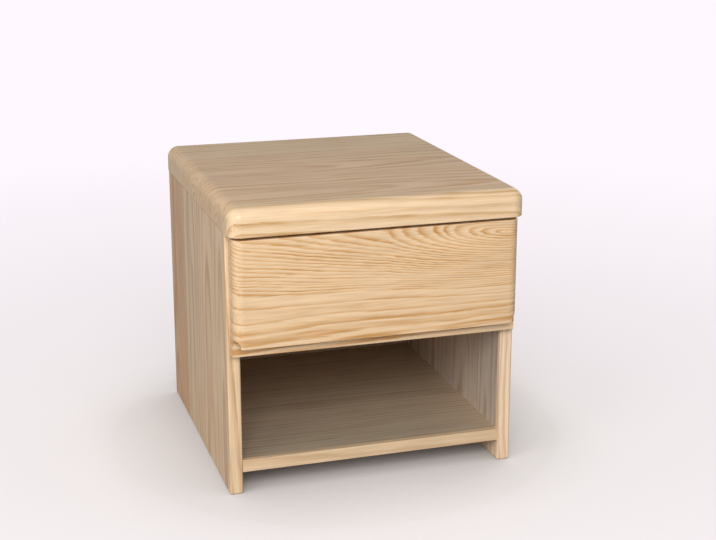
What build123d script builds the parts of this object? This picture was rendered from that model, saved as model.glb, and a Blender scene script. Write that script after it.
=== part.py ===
from build123d import *
import math
import os

# Bedside table in solid pine: one drawer with a routed finger pull over an open compartment.
# Millimetres, +Z up, front towards -Y, origin on the floor under the middle of the outline.

# carcass
overall_height = 400.0
carcass_width = 404.0  # over the two side panels
carcass_depth = 404.0  # front edge to back edge of a side panel
side_thickness = 18.0
side_edge_radius = 2.5

top_thickness = 38.0
top_side_overhang = 0.5
top_front_overhang = 31.0
top_roundover = 16.0
top_corner_radius = 17.0
top_arris = 1.5

shelf_thickness = 17.0
shelf_height = 47.0  # floor to the upper face
shelf_setback = 1.3
shelf_arris = 1.0

back_thickness = 4.0
back_setback = 10.0
back_groove_depth = 6.0
groove_side_gap = 0.1
groove_end_gap = 0.5

# drawer front
front_thickness = 27.0
front_rear_gap = 0.5  # between the drawer front and the side panels
front_inset = 5.0  # each end, from the outer faces of the sides
front_top_gap = 4.0
front_height = 159.5
front_corner_radius = 14.0
front_arris = 1.5
strip_thickness = 13.0
strip_height = 14.5  # below the lip
lip_thickness = 1.2
pull_height = 11.0  # from the lip up to the roof of the groove
pull_front_radius = 7.0
pull_rear_radius = 2.0

# drawer box
box_height = 130.0
box_length = 350.0
box_base_gap = 13.5  # from the lower edge of the front to the box
box_side_thickness = 12.0
box_edge_radius = 1.5
bottom_thickness = 5.0
bottom_height = 8.0
bottom_groove_depth = 5.0

# ball-bearing slide, measured inwards from the side panel (u) and from its middle (v)
slide_length = 350.0
slide_setback = 3.0
slide_width = 12.7
slide_height = 45.0
member_thickness = 1.2
member_bend_radius = 1.0
race_gap = 3.0  # between the flanges that a row of balls runs in
ball_radius = 1.8
ball_clearance = 0.1
cabinet_flange = 8.6
middle_web_u = 2.6
middle_flange = 7.2
drawer_flange = 7.5
outer_ball_u = 5.9
inner_ball_u = 7.7
cage_thickness = 0.6
outer_cage_u = 1.6
outer_cage_reach = 8.2
inner_cage_u = 4.2
inner_cage_reach = 10.2
cage_length = 130.0
ball_pitch = 24.0
balls_in_row = 5
slide_screw_inset = 35.0
access_hole_radius = 4.5

# fasteners
dowel_radius = 4.0
dowel_length = 35.0
dowel_chamfer = 0.8
dowel_clearance = 0.05
dowel_end_gap = 1.0
dowel_edge_distance = 50.0
shelf_dowel_length = 30.0
shelf_dowel_in_side = 11.0
box_dowel_radius = 3.0
box_dowel_length = 25.0
box_dowel_in_side = 7.0
box_dowel_inset = 25.0
screw_angle = 82.0
screw_tip = 3.0
screw_point_share = 0.125  # a screw's point against its shank
screw_end_gap = 1.0
shank_clearance = 0.05
slide_screw_radius = 1.6
slide_screw_head = 3.0
cabinet_screw_length = 16.0
drawer_screw_length = 12.0
back_screw_radius = 1.5
back_screw_head = 3.0
back_screw_length = 20.0
front_screw_radius = 2.0
front_screw_head = 4.0
front_screw_length = 30.0
front_screw_inset = 45.0
front_screw_edge = 30.0
recess_width = 0.8
recess_depth = 1.2

overcut = 1.0  # how far a cut runs past an open side

# worked out from the sizes above
side_height = overall_height - top_thickness
top_width = carcass_width + 2 * top_side_overhang
top_depth = carcass_depth + top_front_overhang
front_edge_y = top_front_overhang - top_depth / 2
back_edge_y = top_depth / 2
inner_width = carcass_width - 2 * side_thickness
inner_half = inner_width / 2
shelf_base = shelf_height - shelf_thickness
back_front_y = back_edge_y - back_setback - back_thickness
carcass_mid_y = front_edge_y + carcass_depth / 2

front_rear_y = front_edge_y - front_rear_gap
front_face_y = front_rear_y - front_thickness
front_width = carcass_width - 2 * front_inset
front_top = side_height - front_top_gap
front_base = front_top - front_height
strip_face_y = front_rear_y - strip_thickness
lip_base = front_base + strip_height

box_width = inner_width - 2 * slide_width
box_half = box_width / 2
box_inner_half = box_half - box_side_thickness
box_base = front_base + box_base_gap
box_top = box_base + box_height
box_rear_y = front_rear_y + box_length
bottom_base = box_base + bottom_height

slide_z = box_base + box_height / 2
slide_front_y = front_edge_y + slide_setback
slide_rear_y = slide_front_y + slide_length
slide_mid_y = slide_front_y + slide_length / 2
cabinet_half = slide_height / 2
middle_half = cabinet_half - member_thickness - race_gap
drawer_half = middle_half - member_thickness - race_gap
outer_ball_v = cabinet_half - member_thickness - race_gap / 2
inner_ball_v = middle_half - member_thickness - race_gap / 2
screw_stations = [
    slide_front_y + slide_screw_inset,
    slide_mid_y,
    slide_rear_y - slide_screw_inset,
]

hands = {"left": -1, "right": 1}
above_below = (-1, 1)
written = []

os.makedirs("parts", exist_ok=True)


def save(piece, name):
    piece.part.label = name
    export_step(piece.part, f"parts/{name}.step")
    written.append(name)


def slide_x(side, u):
    return side * (inner_half - u)


# a plane whose z axis points along X or Y, for holes and fasteners
def facing_x(x, y, z, direction):
    return Plane(origin=(x, y, z), x_dir=(0, 1, 0), z_dir=(direction, 0, 0))


def facing_y(x, y, z, direction):
    return Plane(origin=(x, y, z), x_dir=(1, 0, 0), z_dir=(0, direction, 0))


def countersink(radius, head_radius, length):
    CounterSinkHole(
        radius=radius + shank_clearance,
        counter_sink_radius=head_radius,
        depth=length + screw_end_gap,
        counter_sink_angle=screw_angle,
    )


# countersunk wood screws with a cross recess: each plane sits on a head's face
def screw_group(planes, radius, head_radius, length):
    cone = (head_radius - radius) / math.tan(math.radians(screw_angle / 2))
    shank = length - cone - screw_tip
    hang = (Align.CENTER, Align.CENTER, Align.MAX)
    with BuildPart() as group:
        with Locations(*[Location(plane) for plane in planes]):
            Cone(radius, head_radius, cone, align=hang)
            with Locations((0, 0, -cone)):
                Cylinder(radius, shank, align=hang)
            with Locations((0, 0, -cone - shank)):
                Cone(radius * screw_point_share, radius, screw_tip, align=hang)
            for turn in (0, 90):
                with Locations(Rotation(0, 0, turn)):
                    Box(head_radius, recess_width, recess_depth, align=hang, mode=Mode.SUBTRACT)
    return group


# chamfered dowels: each plane sits on a dowel's lower end
def dowel_group(planes, radius, length):
    with BuildPart() as group:
        with Locations(*[Location(plane) for plane in planes]):
            Cylinder(radius, length, align=(Align.CENTER, Align.CENTER, Align.MIN))
        chamfer(group.edges().filter_by(GeomType.CIRCLE), length=dowel_chamfer)
    return group


def blind_holes(plane, points, radius, depth):
    with BuildSketch(plane) as mouths:
        with Locations(*points):
            Circle(radius + dowel_clearance)
    extrude(mouths.sketch, amount=-depth, mode=Mode.SUBTRACT)


# dowel places shared by the two pieces of each joint
top_dowel_x = inner_half + side_thickness / 2
top_dowel_y = [
    front_edge_y + dowel_edge_distance,
    carcass_mid_y,
    back_edge_y - dowel_edge_distance,
]
top_dowel_in_top = dowel_length / 2
top_dowel_in_side = dowel_length - top_dowel_in_top
shelf_dowel_z = shelf_height - shelf_thickness / 2
shelf_dowel_in_shelf = shelf_dowel_length - shelf_dowel_in_side
box_dowel_z = [box_base + box_dowel_inset, box_top - box_dowel_inset]
box_front_mid_y = front_rear_y + box_side_thickness / 2
box_back_mid_y = box_rear_y - box_side_thickness / 2
box_dowel_in_end = box_dowel_length - box_dowel_in_side
front_screw_places = [
    (x, z)
    for x in (-box_inner_half + front_screw_inset, box_inner_half - front_screw_inset)
    for z in (box_base + front_screw_edge, box_top - front_screw_edge)
]
front_screw_y = front_rear_y + box_side_thickness
back_screw_x = [-inner_half / 2, 0, inner_half / 2]

# top panel: rounded at the front and the two sides, square at the back
with BuildPart() as top_panel:
    with BuildSketch(Plane.XY.offset(side_height)):
        Rectangle(top_width, top_depth)
    extrude(amount=top_thickness)
    fillet(top_panel.edges().filter_by(Axis.Z).group_by(Axis.Y)[0], radius=top_corner_radius)
    # the last edge from front to back is the square one
    upper_edges = top_panel.faces().sort_by(Axis.Z)[-1].edges().sort_by(Axis.Y)
    fillet(upper_edges[:-1], radius=top_roundover)
    lower_edges = top_panel.faces().sort_by(Axis.Z)[0].edges().sort_by(Axis.Y)
    fillet(lower_edges[:-1], radius=top_arris)
    under_top = Plane.XY.offset(side_height)
    with BuildSketch(under_top):
        with Locations((0, back_front_y + back_thickness / 2)):
            Rectangle(
                inner_width + 2 * back_groove_depth,
                back_thickness + 2 * groove_side_gap,
            )
    extrude(amount=back_groove_depth, mode=Mode.SUBTRACT)
    top_holes = [(side * top_dowel_x, y) for side in hands.values() for y in top_dowel_y]
    blind_holes(under_top, top_holes, dowel_radius, -(top_dowel_in_top + dowel_end_gap))
save(top_panel, "top_panel")

# side panels: eased all round except at the joint with the top
for hand, side in hands.items():
    with BuildPart() as side_panel:
        with BuildSketch(Plane.XY):
            with Locations((side * top_dowel_x, carcass_mid_y)):
                Rectangle(side_thickness, carcass_depth)
        extrude(amount=side_height)
        upright_edges = side_panel.edges().filter_by(Axis.Z)
        floor_edges = side_panel.faces().sort_by(Axis.Z)[0].edges()
        fillet(upright_edges + floor_edges, radius=side_edge_radius)
        # groove for the back, open to the top panel's groove
        with BuildSketch(Plane.XY.offset(shelf_base - groove_end_gap)):
            with Locations((side * inner_half, back_front_y + back_thickness / 2)):
                Rectangle(2 * back_groove_depth, back_thickness + 2 * groove_side_gap)
        extrude(until=Until.LAST, mode=Mode.SUBTRACT)
        blind_holes(
            Plane.XY.offset(side_height),
            [(side * top_dowel_x, y) for y in top_dowel_y],
            dowel_radius,
            top_dowel_in_side + dowel_end_gap,
        )
        blind_holes(
            facing_x(side * inner_half, 0, shelf_dowel_z, -side),
            [(y, 0) for y in top_dowel_y],
            dowel_radius,
            shelf_dowel_in_side + dowel_end_gap,
        )
        web_face = slide_x(side, member_thickness)
        screw_planes = [facing_x(web_face, y, slide_z, -side) for y in screw_stations]
        with Locations(*[Location(plane) for plane in screw_planes]):
            countersink(slide_screw_radius, slide_screw_head, cabinet_screw_length)
    save(side_panel, f"{hand}_side_panel")

# shelf of the open compartment, between the sides and up to the back
shelf_front_y = front_edge_y + shelf_setback
with BuildPart() as bottom_shelf:
    with BuildSketch(Plane.XY.offset(shelf_base)):
        with Locations((0, (shelf_front_y + back_front_y) / 2)):
            Rectangle(inner_width, back_front_y - shelf_front_y)
    extrude(amount=shelf_thickness)
    fillet(bottom_shelf.edges().filter_by(Axis.X).group_by(Axis.Y)[0], radius=shelf_arris)
    for side in hands.values():
        blind_holes(
            facing_x(side * inner_half, 0, shelf_dowel_z, side),
            [(y, 0) for y in top_dowel_y],
            dowel_radius,
            shelf_dowel_in_shelf + dowel_end_gap,
        )
    back_screw_planes = [
        facing_y(x, back_front_y + back_thickness, shelf_dowel_z, 1) for x in back_screw_x
    ]
    with Locations(*[Location(plane) for plane in back_screw_planes]):
        countersink(back_screw_radius, back_screw_head, back_screw_length)
save(bottom_shelf, "bottom_shelf")

# plywood back in its grooves, screwed to the shelf
back_top = side_height + back_groove_depth - groove_end_gap
with BuildPart() as back_panel:
    with BuildSketch(Plane.XZ.offset(-(back_front_y + back_thickness))):
        with Locations((0, (shelf_base + back_top) / 2)):
            Rectangle(inner_width + 2 * (back_groove_depth - groove_end_gap), back_top - shelf_base)
    extrude(amount=back_thickness)
    with Locations(*[Location(plane) for plane in back_screw_planes]):
        countersink(back_screw_radius, back_screw_head, back_screw_length)
save(back_panel, "back_panel")
save(
    screw_group(back_screw_planes, back_screw_radius, back_screw_head, back_screw_length),
    "back_panel_screws",
)

# dowels of the carcass
top_dowel_planes = [Plane((x, y, side_height - top_dowel_in_side)) for x, y in top_holes]
save(dowel_group(top_dowel_planes, dowel_radius, dowel_length), "top_dowels")
shelf_dowel_planes = [
    facing_x(side * (inner_half + shelf_dowel_in_side), y, shelf_dowel_z, -side)
    for side in hands.values()
    for y in top_dowel_y
]
save(dowel_group(shelf_dowel_planes, dowel_radius, shelf_dowel_length), "shelf_dowels")

# drawer front: a thick board whose lower edge is cut back to a strip, with the pull behind a lip
with BuildPart() as drawer_front:
    with BuildSketch(Plane.XZ.offset(-front_rear_y)):
        with Locations((0, front_base + front_height / 2)):
            Rectangle(front_width, front_height)
    extrude(amount=front_thickness)
    fillet(
        drawer_front.edges().filter_by(Axis.Z).group_by(Axis.Y)[0],
        radius=front_corner_radius,
    )
    lip_rear_y = front_face_y + lip_thickness
    pull_roof = lip_base + pull_height
    with BuildSketch(Plane.YZ) as pull_profile:
        with BuildLine():
            Polyline(
                (strip_face_y, front_base),
                (strip_face_y, pull_roof),
                (lip_rear_y, pull_roof),
                (lip_rear_y, lip_base),
                (front_face_y, lip_base),
                (front_face_y, front_base),
                close=True,
            )
        make_face()
        roof_corners = pull_profile.vertices().group_by(Axis.Y)[-1].sort_by(Axis.X)
        fillet(roof_corners[0], radius=pull_front_radius)
        fillet(roof_corners[-1], radius=pull_rear_radius)
    extrude(amount=front_width, both=True, mode=Mode.SUBTRACT)
    fillet(drawer_front.faces().sort_by(Axis.Z)[-1].edges(), radius=front_arris)
    fillet(drawer_front.faces().sort_by(Axis.Z)[0].edges().filter_by(Axis.X), radius=front_arris)
    front_screw_planes = [facing_y(x, front_screw_y, z, 1) for x, z in front_screw_places]
    with Locations(*[Location(plane) for plane in front_screw_planes]):
        countersink(front_screw_radius, front_screw_head, front_screw_length)
save(drawer_front, "drawer_front")


# cross board of the drawer box, doweled at both ends and grooved for the bottom
def cross_board(mid_y, groove_side, screw_planes):
    with BuildPart() as board:
        with BuildSketch(Plane.XY.offset(box_base)):
            with Locations((0, mid_y)):
                Rectangle(2 * box_inner_half, box_side_thickness)
        extrude(amount=box_height)
        fillet(
            board.faces().sort_by(Axis.Z)[-1].edges().filter_by(Axis.X),
            radius=box_edge_radius,
        )
        with BuildSketch(Plane.XY.offset(bottom_base - groove_side_gap)):
            with Locations((0, mid_y + groove_side * box_side_thickness / 2)):
                Rectangle(2 * box_inner_half, 2 * bottom_groove_depth)
        extrude(amount=bottom_thickness + 2 * groove_side_gap, mode=Mode.SUBTRACT)
        for side in hands.values():
            blind_holes(
                facing_x(side * box_inner_half, mid_y, 0, side),
                [(0, side * z) for z in box_dowel_z],
                box_dowel_radius,
                box_dowel_in_end + dowel_end_gap,
            )
        if screw_planes:
            with Locations(*[Location(plane) for plane in screw_planes]):
                countersink(front_screw_radius, front_screw_head, front_screw_length)
    return board


save(cross_board(box_front_mid_y, 1, front_screw_planes), "drawer_inner_front")
save(cross_board(box_back_mid_y, -1, []), "drawer_back")
save(
    screw_group(front_screw_planes, front_screw_radius, front_screw_head, front_screw_length),
    "drawer_front_screws",
)

for hand, side in hands.items():
    with BuildPart() as drawer_side:
        with BuildSketch(Plane.XY.offset(box_base)):
            with Locations((side * (box_half - box_side_thickness / 2), (front_rear_y + box_rear_y) / 2)):
                Rectangle(box_side_thickness, box_length)
        extrude(amount=box_height)
        fillet(
            drawer_side.faces().sort_by(Axis.Z)[-1].edges().filter_by(Axis.Y),
            radius=box_edge_radius,
        )
        # stopped groove for the bottom, as long as the bottom's own grooves reach
        groove_front_y = front_rear_y + box_side_thickness - bottom_groove_depth
        groove_rear_y = box_rear_y - box_side_thickness + bottom_groove_depth
        with BuildSketch(Plane.XY.offset(bottom_base - groove_side_gap)):
            with Locations((side * box_inner_half, (groove_front_y + groove_rear_y) / 2)):
                Rectangle(2 * bottom_groove_depth, groove_rear_y - groove_front_y)
        extrude(amount=bottom_thickness + 2 * groove_side_gap, mode=Mode.SUBTRACT)
        blind_holes(
            facing_x(side * box_inner_half, 0, 0, -side),
            [(y, -side * z) for y in (box_front_mid_y, box_back_mid_y) for z in box_dowel_z],
            box_dowel_radius,
            box_dowel_in_side + dowel_end_gap,
        )
        web_face = slide_x(side, slide_width - member_thickness)
        screw_planes = [facing_x(web_face, y, slide_z, side) for y in screw_stations]
        with Locations(*[Location(plane) for plane in screw_planes]):
            countersink(slide_screw_radius, slide_screw_head, drawer_screw_length - screw_end_gap)
    save(drawer_side, f"drawer_{hand}_side")

with BuildPart() as drawer_bottom:
    with BuildSketch(Plane.XY.offset(bottom_base)):
        with Locations((0, (front_rear_y + box_rear_y) / 2)):
            Rectangle(
                2 * (box_inner_half + bottom_groove_depth - groove_end_gap),
                box_length - 2 * (box_side_thickness - bottom_groove_depth + groove_end_gap),
            )
    extrude(amount=bottom_thickness)
save(drawer_bottom, "drawer_bottom")

box_dowel_planes = [
    facing_x(side * (box_inner_half + box_dowel_in_side), y, z, -side)
    for side in hands.values()
    for y in (box_front_mid_y, box_back_mid_y)
    for z in box_dowel_z
]
save(dowel_group(box_dowel_planes, box_dowel_radius, box_dowel_length), "drawer_box_dowels")


# rolled steel channel of a slide: a web, two flanges, and a race in the flanges for each ball row
def channel(side, web_u, open_u, half_height, ball_rows, screw_planes, access_points):
    inward = 1 if open_u > web_u else -1
    web_x = slide_x(side, web_u)
    web_face_u = web_u + inward * member_thickness
    cut_end_u = open_u + inward * overcut
    with BuildPart() as member:
        with BuildSketch(Plane.XZ.offset(-slide_rear_y)) as section:
            with Locations((slide_x(side, (web_u + open_u) / 2), slide_z)):
                Rectangle(abs(open_u - web_u), 2 * half_height)
            bends = [v for v in section.vertices() if abs(v.X - web_x) < member_thickness / 2]
            fillet(bends, radius=member_bend_radius)
            with Locations((slide_x(side, (web_face_u + cut_end_u) / 2), slide_z)):
                Rectangle(
                    abs(cut_end_u - web_face_u),
                    2 * (half_height - member_thickness),
                    mode=Mode.SUBTRACT,
                )
            for row_u, row_v in ball_rows:
                with Locations(*[(slide_x(side, row_u), slide_z + k * row_v) for k in above_below]):
                    Circle(ball_radius + ball_clearance, mode=Mode.SUBTRACT)
        extrude(amount=slide_length)
        if screw_planes:
            with Locations(*[Location(plane) for plane in screw_planes]):
                countersink(slide_screw_radius, slide_screw_head, slide_width)
        if access_points:
            with BuildSketch(Plane.YZ.offset(web_x)):
                with Locations(*access_points):
                    Circle(access_hole_radius)
            extrude(amount=2 * member_thickness, both=True, mode=Mode.SUBTRACT)
    return member


# folded strip that spaces the balls between two channels
def ball_cage(side, web_u, reach_u, ball_u, ball_v):
    half = ball_v + cage_thickness / 2
    web_face_u = web_u + cage_thickness
    cut_end_u = reach_u + overcut
    with BuildPart() as cage:
        with BuildSketch(Plane.XZ.offset(-(slide_mid_y + cage_length / 2))):
            with Locations((slide_x(side, (web_u + reach_u) / 2), slide_z)):
                Rectangle(reach_u - web_u, 2 * half)
            with Locations((slide_x(side, (web_face_u + cut_end_u) / 2), slide_z)):
                Rectangle(cut_end_u - web_face_u, 2 * (half - cage_thickness), mode=Mode.SUBTRACT)
        extrude(amount=cage_length)
        with BuildSketch(Plane.XY.offset(slide_z - half)):
            with Locations((slide_x(side, ball_u), slide_mid_y)):
                with GridLocations(0, ball_pitch, 1, balls_in_row):
                    Circle(ball_radius + ball_clearance)
        extrude(amount=2 * half, mode=Mode.SUBTRACT)
    return cage


def balls(side, ball_u, ball_v):
    with BuildPart() as group:
        for k in above_below:
            with Locations((slide_x(side, ball_u), slide_mid_y, slide_z + k * ball_v)):
                with GridLocations(0, ball_pitch, 1, balls_in_row):
                    Sphere(ball_radius)
    return group


# one slide on each side: three channels, and two cages of balls between them
cabinet_screw_planes = []
drawer_screw_planes = []
drawer_web_u = slide_width - member_thickness
for hand, side in hands.items():
    cabinet_planes = [facing_x(slide_x(side, member_thickness), y, slide_z, -side) for y in screw_stations]
    drawer_planes = [facing_x(slide_x(side, drawer_web_u), y, slide_z, side) for y in screw_stations]
    cabinet_screw_planes += cabinet_planes
    drawer_screw_planes += drawer_planes
    outer_row = (outer_ball_u, outer_ball_v)
    inner_row = (inner_ball_u, inner_ball_v)
    access_points = [(y, slide_z) for y in screw_stations]
    cabinet_member = channel(
        side, 0, cabinet_flange, cabinet_half, [outer_row], cabinet_planes, []
    )
    save(cabinet_member, f"{hand}_cabinet_member")
    middle_member = channel(
        side,
        middle_web_u,
        middle_web_u + middle_flange,
        middle_half,
        [outer_row, inner_row],
        [],
        access_points,
    )
    save(middle_member, f"{hand}_middle_member")
    drawer_member = channel(
        side,
        slide_width,
        slide_width - drawer_flange,
        drawer_half,
        [inner_row],
        drawer_planes,
        [],
    )
    save(drawer_member, f"{hand}_drawer_member")
    save(
        ball_cage(side, outer_cage_u, outer_cage_reach, outer_ball_u, outer_ball_v),
        f"{hand}_outer_ball_cage",
    )
    save(
        ball_cage(side, inner_cage_u, inner_cage_reach, inner_ball_u, inner_ball_v),
        f"{hand}_inner_ball_cage",
    )
    save(balls(side, outer_ball_u, outer_ball_v), f"{hand}_outer_balls")
    save(balls(side, inner_ball_u, inner_ball_v), f"{hand}_inner_balls")

save(
    screw_group(cabinet_screw_planes, slide_screw_radius, slide_screw_head, cabinet_screw_length),
    "cabinet_slide_screws",
)
save(
    screw_group(drawer_screw_planes, slide_screw_radius, slide_screw_head, drawer_screw_length),
    "drawer_slide_screws",
)

print(len(written), "pieces written")
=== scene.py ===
import math

import bmesh
import bpy
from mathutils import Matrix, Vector


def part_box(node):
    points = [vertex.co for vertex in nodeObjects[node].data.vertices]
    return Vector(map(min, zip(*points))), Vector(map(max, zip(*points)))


# Bedside table in clear pine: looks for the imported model, plus floor, light and camera.

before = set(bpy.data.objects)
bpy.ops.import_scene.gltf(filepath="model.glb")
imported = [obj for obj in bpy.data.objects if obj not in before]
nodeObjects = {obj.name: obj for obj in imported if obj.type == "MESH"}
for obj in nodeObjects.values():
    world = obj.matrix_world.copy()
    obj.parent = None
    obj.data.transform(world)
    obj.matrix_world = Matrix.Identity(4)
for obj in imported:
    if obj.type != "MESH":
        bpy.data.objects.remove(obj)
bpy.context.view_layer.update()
scene = bpy.context.scene
print("frame loaded:", len(nodeObjects), "nodes")


def hexToLinear(text):
    channels = [int(text[i:i + 2], 16) / 255 for i in (1, 3, 5)]
    linear = [c / 12.92 if c <= 0.04045 else ((c + 0.055) / 1.055) ** 2.4 for c in channels]
    return (*linear, 1.0)


# adds one node: inputs take a fixed value, or a node or socket to link;
# stops are a ramp's places and levels
def addNode(tree, kind, inputs=None, stops=None, **properties):
    node = tree.nodes.new(kind)
    for key, value in properties.items():
        setattr(node, key, value)
    for key, value in (inputs or {}).items():
        if isinstance(value, bpy.types.Node):
            value = value.outputs[0]
        if isinstance(value, bpy.types.NodeSocket):
            tree.links.new(value, node.inputs[key])
        else:
            node.inputs[key].default_value = value
    if stops:
        elements = node.color_ramp.elements
        elements.remove(elements[1])
        for place, level in stops:
            stop = elements.new(place)
            stop.color = (level, level, level, 1.0)
        elements.remove(elements[0])
    return node


millimetresPerMetre = 1000.0

# short names for the nodes used most
mathKind = "ShaderNodeMath"
vectorKind = "ShaderNodeVectorMath"
rangeKind = "ShaderNodeMapRange"
noiseKind = "ShaderNodeTexNoise"
whiteKind = "ShaderNodeTexWhiteNoise"
rampKind = "ShaderNodeValToRGB"
mixKind = "ShaderNodeMix"
bumpKind = "ShaderNodeBump"
shaderKind = "ShaderNodeBsdfPrincipled"

woodIor = 1.5  # wood and its clear finishes


def newMaterial(name):
    material = bpy.data.materials.new(name)
    material.use_nodes = True
    material.node_tree.nodes.clear()
    return material, material.node_tree


def finishMaterial(material, tree, shader):
    addNode(tree, "ShaderNodeOutputMaterial", {"Surface": shader})
    return material


# the board's own directions in millimetres: along the grain, across the face, through the thickness
def boardAxes(tree, axes):
    coords = addNode(tree, "ShaderNodeTexCoord")
    metres = coords.outputs["Object"]
    scaled = addNode(
        tree, vectorKind, {0: metres, "Scale": millimetresPerMetre}, operation="SCALE"
    )
    split = addNode(tree, "ShaderNodeSeparateXYZ", {0: scaled})
    return [split.outputs["XYZ".index(axis)] for axis in axes]


# figure whose grains measure the given millimetres along, across and through the board
def grain(tree, position, size, detail=2.0):
    place = addNode(tree, vectorKind, {0: position, 1: size}, operation="DIVIDE")
    return addNode(
        tree, noiseKind, {"Vector": place, "Scale": 1.0, "Detail": detail, "Roughness": 0.5}
    )


# Clear pine, sawn through and through, planed and glued up from staves, under a clear satin
# lacquer. Wide pale earlywood runs into narrow tan latewood, so the eye reads soft flames and
# lines along the board, arcs of the same rings on its ends, and a slight change of tone from
# stave to stave.

# what every pine board shares; in millimetres, with sizes along, across and through the board
pineBasics = {
    "early": "#DBC09B",
    "late": "#AD8253",
    "warm": "#EBD3C6",
    "heart": "#F6E3D6",
    "heartFrom": 99.0,  # staves numbered above this are redder heartwood
    "staveWidth": 105.0,
    "staveOffset": 0.0,
    "staveTone": 0.04,
    "staveWarmth": 0.35,
    "logLength": 900.0,  # staves are cut from anywhere along this much log
    "pithSway": 90.0,
    "pithAcross": 0.0,
    "pithDepth": 45.0,
    "throughShare": 1.0,  # below 1 the rings lie steeper to the face
    "taper": 0.03,
    "lean": (0.0, 1.0, 0.0, 0.0),  # two places across, and how much the lines tilt at each
    "swell": (0.0, 1.0, 0.0),  # two places along, and how much nearer the pith comes between them
    "bendSize": (420.0, 90.0, 90.0),
    "bendAmount": 26.0,
    "rippleSize": (70.0, 22.0, 22.0),
    "rippleAmount": 3.0,
    "ringWidth": 9.0,
    "ringDrift": 2.5,
    "outerYears": (200.0, 260.0, 0.0),  # rings lost between two radii, so that years grow wider
    "yearShape": [
        (0.0, 0.2),
        (0.09, 0.0),
        (0.36, 0.12),
        (0.62, 0.58),
        (0.80, 1.0),
        (0.92, 0.85),
        (1.0, 0.2),
    ],
    "yearLeast": 0.4,  # latewood of the poorest year against the best
    "lateStrength": 0.9,
    "featherSize": (38.0, 2.2, 2.2),
    "feather": 0.4,
    "fadeSize": (90.0, 9.0, 9.0),
    # each tone: two levels of its pattern, and the strength at each
    "fadeTone": (0.3, 0.65, 0.45, 1.1),
    "fibreSize": (45.0, 1.3, 1.3),  # fibres are 0.04 mm wide: drawn as 1.3 mm bundles
    "fibreTone": (0.3, 0.7, 0.88, 1.08),
    "canalSize": (9.0, 0.9, 0.9),  # resin canals, short brown dashes 0.2 mm wide: drawn 0.9 mm
    "canalTone": (0.70, 0.80, 1.0, 0.86),
    "cloudSize": (220.0, 45.0, 45.0),
    "cloud": 0.04,
    "roughness": (0.50, 0.40),  # dense latewood lies a little glossier under the lacquer
    "coat": 0.25,
    "coatRoughness": 0.28,
    "fibreRelief": 0.5,
    "lateRelief": 0.35,
    "reliefStrength": 0.22,
    "reliefMetres": 0.0005,
    "seed": 1.0,
}

# the boards: which way each runs, and where in the log its staves lay
pineBoards = {
    "topPine": {
        "nodes": ["top_panel"],
        "axes": "XYZ",
        "late": "#B48A52",
        "rippleSize": (60.0, 26.0, 14.0),
        "rippleAmount": 6.0,
        "staveWidth": 145.0,
        "staveOffset": 40.0,
        "pithDepth": -352.0,
        "ringWidth": 10.0,
        "seed": 3.0,
    },
    "leftSidePine": {
        "nodes": ["left_side_panel"],
        "axes": "ZYX",
        "pithDepth": 250.0,
        "heartFrom": 0.5,
        "lateStrength": 0.85,
        "seed": 11.0,
    },
    "rightSidePine": {
        "nodes": ["right_side_panel"],
        "axes": "ZYX",
        "early": "#E2C9AC",
        "late": "#B58B5F",
        "pithDepth": -140.0,
        "ringWidth": 7.0,
        "seed": 23.0,
    },
    "shelfPine": {
        "nodes": ["bottom_shelf"],
        "axes": "XYZ",
        "early": "#CFB592",
        "late": "#A47C52",
        "pithAcross": 150.0,
        "pithDepth": 20.0,
        "ringWidth": 7.0,
        "lateStrength": 0.95,
        "seed": 31.0,
    },
    "drawerFrontPine": {
        "nodes": ["drawer_front"],
        "axes": "XZY",
        "early": "#DBBE98",
        "late": "#BA8849",
        "staveWidth": 900.0,
        "staveOffset": 450.0,
        "pithSway": 0.0,
        "pithAcross": -358.0,
        "pithDepth": 64.0,
        "throughShare": 0.15,
        "taper": -0.06,
        "lean": (215.0, 345.0, -0.06, 0.1),
        "swell": (10.0, 200.0, -24.0),
        "bendSize": (260.0, 60.0, 160.0),
        "bendAmount": 14.0,
        "rippleSize": (70.0, 26.0, 26.0),
        "rippleAmount": 3.5,
        "ringWidth": 3.4,
        "ringDrift": 1.6,
        "outerYears": (88.0, 175.0, 18.2),
        "yearLeast": 0.62,
        "feather": 0.5,
        "lateStrength": 1.12,
        "seed": 41.0,
    },
    "drawerBoxPine": {
        "nodes": ["drawer_left_side", "drawer_right_side"],
        "axes": "YZX",
        "pithDepth": 60.0,
        "lateStrength": 0.5,
        "seed": 53.0,
    },
    "drawerEndPine": {
        "nodes": ["drawer_inner_front", "drawer_back"],
        "axes": "XZY",
        "pithDepth": 60.0,
        "lateStrength": 0.5,
        "seed": 61.0,
    },
}


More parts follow.
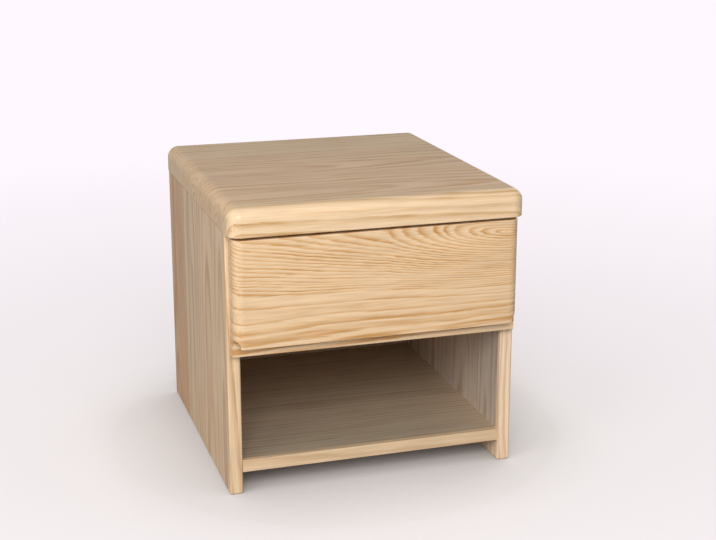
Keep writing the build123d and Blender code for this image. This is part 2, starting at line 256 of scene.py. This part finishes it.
# staves are glued side by side: each has its own place in the log, and its own luck with tone
def layInLog(tree, board):
    along, across, through = boardAxes(tree, board["axes"])
    width, sway = board["staveWidth"], board["pithSway"]
    shifted = addNode(tree, mathKind, {0: across, 1: board["staveOffset"]}, operation="ADD")
    count = addNode(tree, mathKind, {0: shifted, 1: width}, operation="DIVIDE")
    stave = addNode(tree, mathKind, {0: count}, operation="FLOOR")
    draw = addNode(tree, mathKind, {0: stave, 1: board["seed"]}, operation="ADD")
    chance = addNode(tree, whiteKind, {"W": draw}, noise_dimensions="1D")
    luck = addNode(tree, "ShaderNodeSeparateColor", {0: chance.outputs["Color"]}).outputs
    middle = board["pithAcross"] - (width + sway) / 2
    staveStart = addNode(tree, mathKind, {0: stave, 1: -width, 2: middle}, operation="MULTIPLY_ADD")
    pithShift = addNode(
        tree, mathKind, {0: luck[0], 1: sway, 2: staveStart}, operation="MULTIPLY_ADD"
    )
    fromPith = addNode(tree, mathKind, {0: shifted, 1: pithShift}, operation="ADD")
    alongLog = addNode(
        tree, mathKind, {0: luck[1], 1: board["logLength"], 2: along}, operation="MULTIPLY_ADD"
    )
    position = addNode(tree, "ShaderNodeCombineXYZ", {0: alongLog, 1: across, 2: through})
    return {
        "along": along,
        "across": across,
        "through": through,
        "position": position,
        "fromPith": fromPith,
        "stave": stave,
        "luck": luck,
    }


# distance from the pith; the trunk isn't straight or round, so it bends slowly and ripples a little
def ringRadius(tree, board, wood):
    bend = grain(tree, wood["position"], board["bendSize"], 1.0)
    reach = board["bendAmount"]
    swerve = addNode(
        tree,
        vectorKind,
        {0: bend.outputs["Color"], 1: (reach, reach, 0.0), 2: (-reach / 2, -reach / 2, 0.0)},
        operation="MULTIPLY_ADD",
    )
    ripple = grain(tree, wood["position"], board["rippleSize"], 1.0)
    reach = board["rippleAmount"]
    rippled = addNode(
        tree, mathKind, {0: ripple, 1: reach, 2: -reach / 2}, operation="MULTIPLY_ADD"
    )
    low, high, tiltLow, tiltHigh = board["lean"]
    lean = addNode(tree, rangeKind, {0: wood["across"], 1: low, 2: high, 3: tiltLow, 4: tiltHigh})
    leaning = addNode(
        tree, mathKind, {0: lean, 1: wood["along"], 2: rippled}, operation="MULTIPLY_ADD"
    )
    ringAcross = addNode(tree, mathKind, {0: wood["fromPith"], 1: leaning}, operation="ADD")
    low, high, nearer = board["swell"]
    pith = board["pithDepth"]
    swell = addNode(tree, rangeKind, {0: wood["along"], 1: low, 2: high, 3: pith, 4: pith + nearer})
    tapered = addNode(
        tree, mathKind, {0: wood["along"], 1: board["taper"], 2: swell}, operation="MULTIPLY_ADD"
    )
    share = board["throughShare"]
    ringDepth = addNode(
        tree, mathKind, {0: wood["through"], 1: share, 2: tapered}, operation="MULTIPLY_ADD"
    )
    section = addNode(tree, "ShaderNodeCombineXYZ", {0: ringAcross, 1: ringDepth})
    bent = addNode(tree, vectorKind, {0: section, 1: swerve}, operation="ADD")
    return addNode(tree, vectorKind, {0: bent}, operation="LENGTH").outputs["Value"]


# how much latewood shows at each point: years drift between good and poor, and their lines
# fray and fade
def latewoodShare(tree, board, wood):
    radius = ringRadius(tree, board, wood)
    position, width, fray = wood["position"], board["ringWidth"], board["feather"]
    decade = addNode(tree, mathKind, {0: radius, 1: width * 4}, operation="DIVIDE")
    weather = addNode(
        tree, noiseKind, {"W": decade, "Scale": 1.0, "Detail": 1.0}, noise_dimensions="1D"
    )
    first, last, lost = board["outerYears"]
    start = -fray / 2
    wider = addNode(tree, rangeKind, {0: radius, 1: first, 2: last, 3: start, 4: start - lost})
    drift = board["ringDrift"]
    drifted = addNode(tree, mathKind, {0: weather, 1: drift, 2: wider}, operation="MULTIPLY_ADD")
    smooth = addNode(
        tree, mathKind, {0: radius, 1: 1 / width, 2: drifted}, operation="MULTIPLY_ADD"
    )
    feather = grain(tree, position, board["featherSize"])
    age = addNode(tree, mathKind, {0: feather, 1: fray, 2: smooth}, operation="MULTIPLY_ADD")
    season = addNode(tree, mathKind, {0: age}, operation="FRACT")
    year = addNode(tree, mathKind, {0: age}, operation="FLOOR")
    growth = addNode(tree, whiteKind, {"W": year}, noise_dimensions="1D")
    late = addNode(tree, rampKind, {0: season}, stops=board["yearShape"])
    least = board["yearLeast"]
    vigour = addNode(tree, rangeKind, {0: growth, 1: 0.0, 2: 1.0, 3: least, 4: 1.0})
    patch = grain(tree, position, board["fadeSize"], 1.0)
    low, high, faint, full = board["fadeTone"]
    strength = board["lateStrength"]
    fading = addNode(
        tree, rangeKind, {0: patch, 1: low, 2: high, 3: faint * strength, 4: full * strength}
    )
    lively = addNode(tree, mathKind, {0: late, 1: vigour}, operation="MULTIPLY")
    return addNode(tree, mathKind, {0: lively, 1: fading}, operation="MULTIPLY")


def makePine(name, board):
    material, tree = newMaterial(name)
    wood = layInLog(tree, board)
    position, luck = wood["position"], wood["luck"]
    late = latewoodShare(tree, board, wood)
    pale, tan = hexToLinear(board["early"]), hexToLinear(board["late"])
    colour = addNode(tree, mixKind, {0: late, 6: pale, 7: tan}, data_type="RGBA")

    # fibres, resin canals, slow clouds and the stave's own tone each change the wood a little
    fibre = grain(tree, position, board["fibreSize"], 3.0)
    canal = grain(tree, position, board["canalSize"], 1.0)
    cloud = grain(tree, position, board["cloudSize"])
    tones = [
        (fibre, *board["fibreTone"]),
        (canal, *board["canalTone"]),
        (cloud, 0.3, 0.7, 1 - board["cloud"], 1 + board["cloud"]),
        (luck[2], 0.0, 1.0, 1 - board["staveTone"], 1 + board["staveTone"]),
    ]
    for source, low, high, dark, light in tones:
        tone = addNode(tree, rangeKind, {0: source, 1: low, 2: high, 3: dark, 4: light})
        colour = addNode(
            tree,
            mixKind,
            {0: 1.0, 6: colour.outputs[2], 7: tone},
            data_type="RGBA",
            blend_type="MULTIPLY",
        )

    # some staves are warmer, and those past heartFrom are heartwood
    warmth = addNode(tree, rangeKind, {0: luck[0], 1: 0.5, 2: 1.0, 3: 0.0, 4: board["staveWarmth"]})
    heart = addNode(
        tree, mathKind, {0: wood["stave"], 1: board["heartFrom"]}, operation="GREATER_THAN"
    )
    for share, tint in ((warmth, board["warm"]), (heart, board["heart"])):
        colour = addNode(
            tree,
            mixKind,
            {0: share, 6: colour.outputs[2], 7: hexToLinear(tint)},
            data_type="RGBA",
            blend_type="MULTIPLY",
        )

    plain, dense = board["roughness"]
    gloss = addNode(tree, rangeKind, {0: late, 1: 0.0, 2: 1.0, 3: plain, 4: dense})
    ridge = addNode(tree, mathKind, {0: late, 1: board["lateRelief"]}, operation="MULTIPLY")
    relief = addNode(
        tree, mathKind, {0: fibre, 1: board["fibreRelief"], 2: ridge}, operation="MULTIPLY_ADD"
    )
    bump = addNode(
        tree,
        bumpKind,
        {"Strength": board["reliefStrength"], "Distance": board["reliefMetres"], "Height": relief},
    )
    lacquered = addNode(
        tree,
        shaderKind,
        {
            "Base Color": colour.outputs[2],
            "Roughness": gloss,
            "Normal": bump,
            "IOR": woodIor,
            "Coat Weight": board["coat"],
            "Coat Roughness": board["coatRoughness"],
        },
    )
    return finishMaterial(material, tree, lacquered)


# Birch plywood, rotary cut, matt lacquered: a pale face with broad faint figure, and plies along
# its edges.
plywoodBasics = {
    "figureSize": (260.0, 38.0, 500.0),
    "swirls": 7.0,
    "swirlShape": [(0.0, 0.2), (0.5, 0.45), (0.9, 0.7), (1.0, 0.2)],
    "fleckSize": (12.0, 1.2, 1.2),  # vessels are 0.1 mm wide: drawn 1.2 mm
    "fleckTone": (0.3, 0.7, 0.93, 1.05),
    "glue": "#C9A57E",
    "roughness": 0.55,
    "reliefStrength": 0.15,
    "reliefMetres": 0.0004,
}

plywoodSheets = {
    "backPlywood": {
        "nodes": ["back_panel"],
        "axes": "ZXY",
        "pale": "#E3CBA6",
        "figure": "#CDAA7E",
        "ply": 1.34,
        "plyOffset": -203.5,
    },
    "drawerBottomPlywood": {
        "nodes": ["drawer_bottom"],
        "axes": "XYZ",
        "pale": "#E2C9A3",
        "figure": "#CFAE82",
        "ply": 1.67,
        "plyOffset": -220.0,
    },
}


def makePlywood(name, sheet):
    material, tree = newMaterial(name)
    along, across, through = boardAxes(tree, sheet["axes"])
    position = addNode(tree, "ShaderNodeCombineXYZ", {0: along, 1: across, 2: through})
    figure = grain(tree, position, sheet["figureSize"], 3.0)
    contours = addNode(tree, mathKind, {0: figure, 1: sheet["swirls"]}, operation="MULTIPLY")
    contour = addNode(tree, mathKind, {0: contours}, operation="FRACT")
    swirl = addNode(tree, rampKind, {0: contour}, stops=sheet["swirlShape"])
    pale, dark = hexToLinear(sheet["pale"]), hexToLinear(sheet["figure"])
    face = addNode(tree, mixKind, {0: swirl, 6: pale, 7: dark}, data_type="RGBA")
    # every other ply shows end grain and glue
    depth = addNode(tree, mathKind, {0: through, 1: sheet["plyOffset"]}, operation="ADD")
    plies = addNode(tree, mathKind, {0: depth, 1: sheet["ply"]}, operation="DIVIDE")
    ply = addNode(tree, mathKind, {0: plies}, operation="FLOOR")
    crosswise = addNode(tree, mathKind, {0: ply, 1: 1.0}, operation="PINGPONG")
    layered = addNode(
        tree,
        mixKind,
        {0: crosswise, 6: face.outputs[2], 7: hexToLinear(sheet["glue"])},
        data_type="RGBA",
        blend_type="MULTIPLY",
    )
    fleck = grain(tree, position, sheet["fleckSize"])
    low, high, dull, bright = sheet["fleckTone"]
    tone = addNode(tree, rangeKind, {0: fleck, 1: low, 2: high, 3: dull, 4: bright})
    colour = addNode(
        tree,
        mixKind,
        {0: 1.0, 6: layered.outputs[2], 7: tone},
        data_type="RGBA",
        blend_type="MULTIPLY",
    )
    bump = addNode(
        tree,
        bumpKind,
        {"Strength": sheet["reliefStrength"], "Distance": sheet["reliefMetres"], "Height": fleck},
    )
    sheetShader = addNode(
        tree,
        shaderKind,
        {
            "Base Color": colour.outputs[2],
            "Normal": bump,
            "IOR": woodIor,
            "Roughness": sheet["roughness"],
        },
    )
    return finishMaterial(material, tree, sheetShader)


# Turned beech dowel, bare: pinkish tan with short dark ray flecks along the grain.
dowelBasics = {
    "pale": "#DDB88E",
    "fleck": "#B98A5E",
    "fleckSize": (3.0, 0.6, 0.6),
    "fleckFrom": (0.5, 0.7),
    "roughness": 0.62,
    "reliefStrength": 0.2,
    "reliefMetres": 0.0002,
}

dowelSets = {
    "uprightBeech": {"nodes": ["top_dowels"], "axes": "ZXY"},
    "crosswiseBeech": {"nodes": ["shelf_dowels", "drawer_box_dowels"], "axes": "XYZ"},
}


def makeBeech(name, dowel):
    material, tree = newMaterial(name)
    along, across, through = boardAxes(tree, dowel["axes"])
    position = addNode(tree, "ShaderNodeCombineXYZ", {0: along, 1: across, 2: through})
    rays = grain(tree, position, dowel["fleckSize"], 1.0)
    low, high = dowel["fleckFrom"]
    share = addNode(tree, rangeKind, {0: rays, 1: low, 2: high, 3: 0.0, 4: 1.0})
    pale, dark = hexToLinear(dowel["pale"]), hexToLinear(dowel["fleck"])
    colour = addNode(tree, mixKind, {0: share, 6: pale, 7: dark}, data_type="RGBA")
    bump = addNode(
        tree,
        bumpKind,
        {"Strength": dowel["reliefStrength"], "Distance": dowel["reliefMetres"], "Height": rays},
    )
    bare = addNode(
        tree,
        shaderKind,
        {
            "Base Color": colour.outputs[2],
            "Normal": bump,
            "IOR": woodIor,
            "Roughness": dowel["roughness"],
        },
    )
    return finishMaterial(material, tree, bare)


# Zinc-plated steel, cold rolled and bright passivated: grey with fine lines along the rolling
# direction.
steelBasics = {
    "tarnishSize": (30.0, 12.0, 12.0),  # blooms of the passivation
    "streakRange": (0.3, 0.7),
    "reliefStrength": 0.08,
    "reliefMetres": 0.0002,
}

handed = ("left", "right")
steelParts = {
    "zincPlatedSlideSteel": {
        "nodes": [
            f"{hand}_{member}_member"
            for hand in handed
            for member in ("cabinet", "middle", "drawer")
        ],
        "light": "#C9CCCE",
        "dark": "#A9ADB1",
        "streak": (60.0, 0.8, 0.8),
        "roughness": (0.26, 0.40),
    },
    "zincPlatedCageSteel": {
        "nodes": [f"{hand}_{row}_ball_cage" for hand in handed for row in ("outer", "inner")],
        "light": "#B9BCC0",
        "dark": "#96999D",
        "streak": (40.0, 0.8, 0.8),
        "roughness": (0.32, 0.46),
    },
    "polishedBallSteel": {
        "nodes": [f"{hand}_{row}_balls" for hand in handed for row in ("outer", "inner")],
        "light": "#D2D4D8",
        "dark": "#BFC2C6",
        "streak": (6.0, 3.0, 3.0),
        "roughness": (0.06, 0.14),
    },
    "zincPlatedScrewSteel": {
        "nodes": [
            "back_panel_screws",
            "cabinet_slide_screws",
            "drawer_slide_screws",
            "drawer_front_screws",
        ],
        "light": "#C8C7BE",
        "dark": "#A5A49C",
        "streak": (2.0, 1.0, 1.0),
        "roughness": (0.25, 0.42),
    },
}


def makeSteel(name, steel):
    material, tree = newMaterial(name)
    along, across, through = boardAxes(tree, "YZX")
    position = addNode(tree, "ShaderNodeCombineXYZ", {0: along, 1: across, 2: through})
    rolling = grain(tree, position, steel["streak"])
    tarnish = grain(tree, position, steel["tarnishSize"])
    light, dark = hexToLinear(steel["light"]), hexToLinear(steel["dark"])
    colour = addNode(tree, mixKind, {0: tarnish, 6: light, 7: dark}, data_type="RGBA")
    low, high = steel["streakRange"]
    smooth, rough = steel["roughness"]
    gloss = addNode(tree, rangeKind, {0: rolling, 1: low, 2: high, 3: smooth, 4: rough})
    bump = addNode(
        tree,
        bumpKind,
        {"Strength": steel["reliefStrength"], "Distance": steel["reliefMetres"], "Height": rolling},
    )
    plated = addNode(
        tree,
        shaderKind,
        {"Base Color": colour.outputs[2], "Roughness": gloss, "Normal": bump, "Metallic": 1.0},
    )
    return finishMaterial(material, tree, plated)


def dress(pieces, basics, makeOne):
    for name, piece in pieces.items():
        material = makeOne(name, {**basics, **piece})
        for nodeName in piece["nodes"]:
            slots = nodeObjects[nodeName].material_slots
            if not slots:
                nodeObjects[nodeName].data.materials.append(material)
            for slot in slots:
                slot.material = material
        print("dressed in", name)


dress(pineBoards, pineBasics, makePine)
dress(plywoodSheets, plywoodBasics, makePlywood)
dress(dowelSets, dowelBasics, makeBeech)
dress(steelParts, steelBasics, makeSteel)


# pale studio floor that melts into the backdrop away from the table
studio = {
    "floorRadius": 3.4,
    "floorSegments": 96,
    "gritPerMetre": 220.0,
    "gritStrength": 0.05,
    "gritMetres": 0.001,
    "floorColour": "#AAA6A4",
    "glowColour": "#FFFAF8",
    "glow": 0.475,
    "glowReach": 0.17,
    "fadeStart": 0.33,
    "fadeEnd": 2.1,
    "backdropColour": "#FFF8FF",
    "ambientColour": "#F4F6FF",
    "ambient": 0.36,
}


def makeFloor():
    mesh = bpy.data.meshes.new("studioFloor")
    shape = bmesh.new()
    bmesh.ops.create_circle(
        shape, cap_ends=True, segments=studio["floorSegments"], radius=studio["floorRadius"]
    )
    shape.to_mesh(mesh)
    shape.free()
    floor = bpy.data.objects.new("studioFloor", mesh)
    scene.collection.objects.link(floor)
    material, tree = newMaterial("mattStudioFloor")
    coords = addNode(tree, "ShaderNodeTexCoord").outputs["Object"]
    distance = addNode(tree, vectorKind, {0: coords}, operation="LENGTH").outputs["Value"]
    near, far = studio["fadeStart"], studio["fadeEnd"]
    away = addNode(tree, rangeKind, {0: distance, 1: near, 2: far, 3: 0.0, 4: 1.0})
    fade = addNode(tree, mathKind, {0: away, 1: 0.5}, operation="POWER")
    grit = addNode(
        tree, noiseKind, {"Vector": coords, "Scale": studio["gritPerMetre"], "Detail": 2.0}
    )
    gritBump = addNode(
        tree,
        bumpKind,
        {"Strength": studio["gritStrength"], "Distance": studio["gritMetres"], "Height": grit},
    )
    floorColour = hexToLinear(studio["floorColour"])
    matt = addNode(tree, "ShaderNodeBsdfDiffuse", {"Color": floorColour, "Normal": gritBump})
    # painted light and shade: the glow, seen only by camera rays, stands for light from all round
    # the room; ambient occlusion dims it close to the table, so it paints shade under and around
    # the table
    path = addNode(tree, "ShaderNodeLightPath")
    openness = addNode(
        tree, "ShaderNodeAmbientOcclusion", {"Distance": studio["glowReach"]}, samples=8
    )
    room = addNode(
        tree, mathKind, {0: openness.outputs["AO"], 1: studio["glow"]}, operation="MULTIPLY"
    )
    seen = addNode(
        tree, mathKind, {0: path.outputs["Is Camera Ray"], 1: room}, operation="MULTIPLY"
    )
    glowColour = hexToLinear(studio["glowColour"])
    glow = addNode(tree, "ShaderNodeEmission", {"Color": glowColour, "Strength": seen})
    lit = addNode(tree, "ShaderNodeAddShader", {0: matt, 1: glow})
    clear = addNode(tree, "ShaderNodeBsdfTransparent")
    blend = addNode(tree, "ShaderNodeMixShader", {0: fade, 1: lit, 2: clear})
    mesh.materials.append(finishMaterial(material, tree, blend))


makeFloor()


def makeWorld():
    world = bpy.data.worlds.new("softStudio")
    world.use_nodes = True
    tree = world.node_tree
    tree.nodes.clear()
    path = addNode(tree, "ShaderNodeLightPath")
    ambient = addNode(
        tree,
        "ShaderNodeBackground",
        {"Color": hexToLinear(studio["ambientColour"]), "Strength": studio["ambient"]},
    )
    backdropColour = hexToLinear(studio["backdropColour"])
    backdrop = addNode(tree, "ShaderNodeBackground", {"Color": backdropColour})
    seen = path.outputs["Is Camera Ray"]
    blend = addNode(tree, "ShaderNodeMixShader", {0: seen, 1: ambient, 2: backdrop})
    addNode(tree, "ShaderNodeOutputWorld", {"Surface": blend})
    scene.world = world


makeWorld()
scene.view_settings.view_transform = "Standard"

# three soft boxes: the key in front and above, a weaker one to the left, a fill behind to the right
softBoxColour = "#FFFBF8"
softBoxAim = (0.0, 0.0, 0.2)
softBoxes = {
    "keyBox": {"place": (-0.6, -2.6, 1.75), "size": (1.8, 1.3), "watts": 73.0},
    "leftBox": {"place": (-2.3, -1.45, 1.05), "size": (1.6, 1.4), "watts": 35.0},
    "fillBox": {"place": (2.1, 1.5, 1.0), "size": (1.6, 1.4), "watts": 14.0},
}


def makeSoftBox(name, box):
    light = bpy.data.lights.new(name, "AREA")
    light.shape = "RECTANGLE"
    light.size, light.size_y = box["size"]
    light.energy = box["watts"]
    light.color = hexToLinear(softBoxColour)[:3]
    lamp = bpy.data.objects.new(name, light)
    lamp.location = box["place"]
    aim = Vector(softBoxAim) - lamp.location
    lamp.rotation_euler = aim.to_track_quat("-Z", "Y").to_euler()
    scene.collection.objects.link(lamp)


for name, box in softBoxes.items():
    makeSoftBox(name, box)

# a gauze hung in the mouth of the compartment dims what the soft boxes throw into it
scrim = {"inset": 0.0015, "behindFront": 0.006, "overlap": 0.012, "passes": "#C8D6EA"}


def makeScrim():
    shelfLow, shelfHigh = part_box("bottom_shelf")
    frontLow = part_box("drawer_front")[0]
    left, right = shelfLow.x + scrim["inset"], shelfHigh.x - scrim["inset"]
    low, high = shelfHigh.z + scrim["inset"], frontLow.z + scrim["overlap"]
    y = shelfLow.y + scrim["behindFront"]
    mesh = bpy.data.meshes.new("compartmentScrim")
    corners = [(left, y, low), (right, y, low), (right, y, high), (left, y, high)]
    mesh.from_pydata(corners, [], [(0, 1, 2, 3)])
    gauze = bpy.data.objects.new("compartmentScrim", mesh)
    scene.collection.objects.link(gauze)
    gauze.visible_camera = False
    gauze.visible_glossy = False
    material, tree = newMaterial("greyGauze")
    sheer = addNode(tree, "ShaderNodeBsdfTransparent", {"Color": hexToLinear(scrim["passes"])})
    mesh.materials.append(finishMaterial(material, tree, sheer))


makeScrim()

# camera: from the left and a little above, with the small drop of the lens that the framing needs
cameraSetup = {
    "place": (-0.5514, -1.8743, 0.8105),
    "turn": 17.387,
    "dip": 14.955,
    "lens": 69.99,
    "shift": -0.04,
    "sensorWidth": 36.0,
    "clip": (0.02, 50.0),
}


def makeCamera():
    data = bpy.data.cameras.new("mainCamera")
    data.sensor_width = cameraSetup["sensorWidth"]
    data.lens = cameraSetup["lens"]
    data.shift_y = cameraSetup["shift"]
    data.clip_start, data.clip_end = cameraSetup["clip"]
    camera = bpy.data.objects.new("mainCamera", data)
    camera.location = cameraSetup["place"]
    camera.rotation_euler = (
        math.radians(90.0 - cameraSetup["dip"]),
        0.0,
        math.radians(-cameraSetup["turn"]),
    )
    scene.collection.objects.link(camera)
    scene.camera = camera


makeCamera()
print("floor, light and camera set")

bpy.context.view_layer.update()
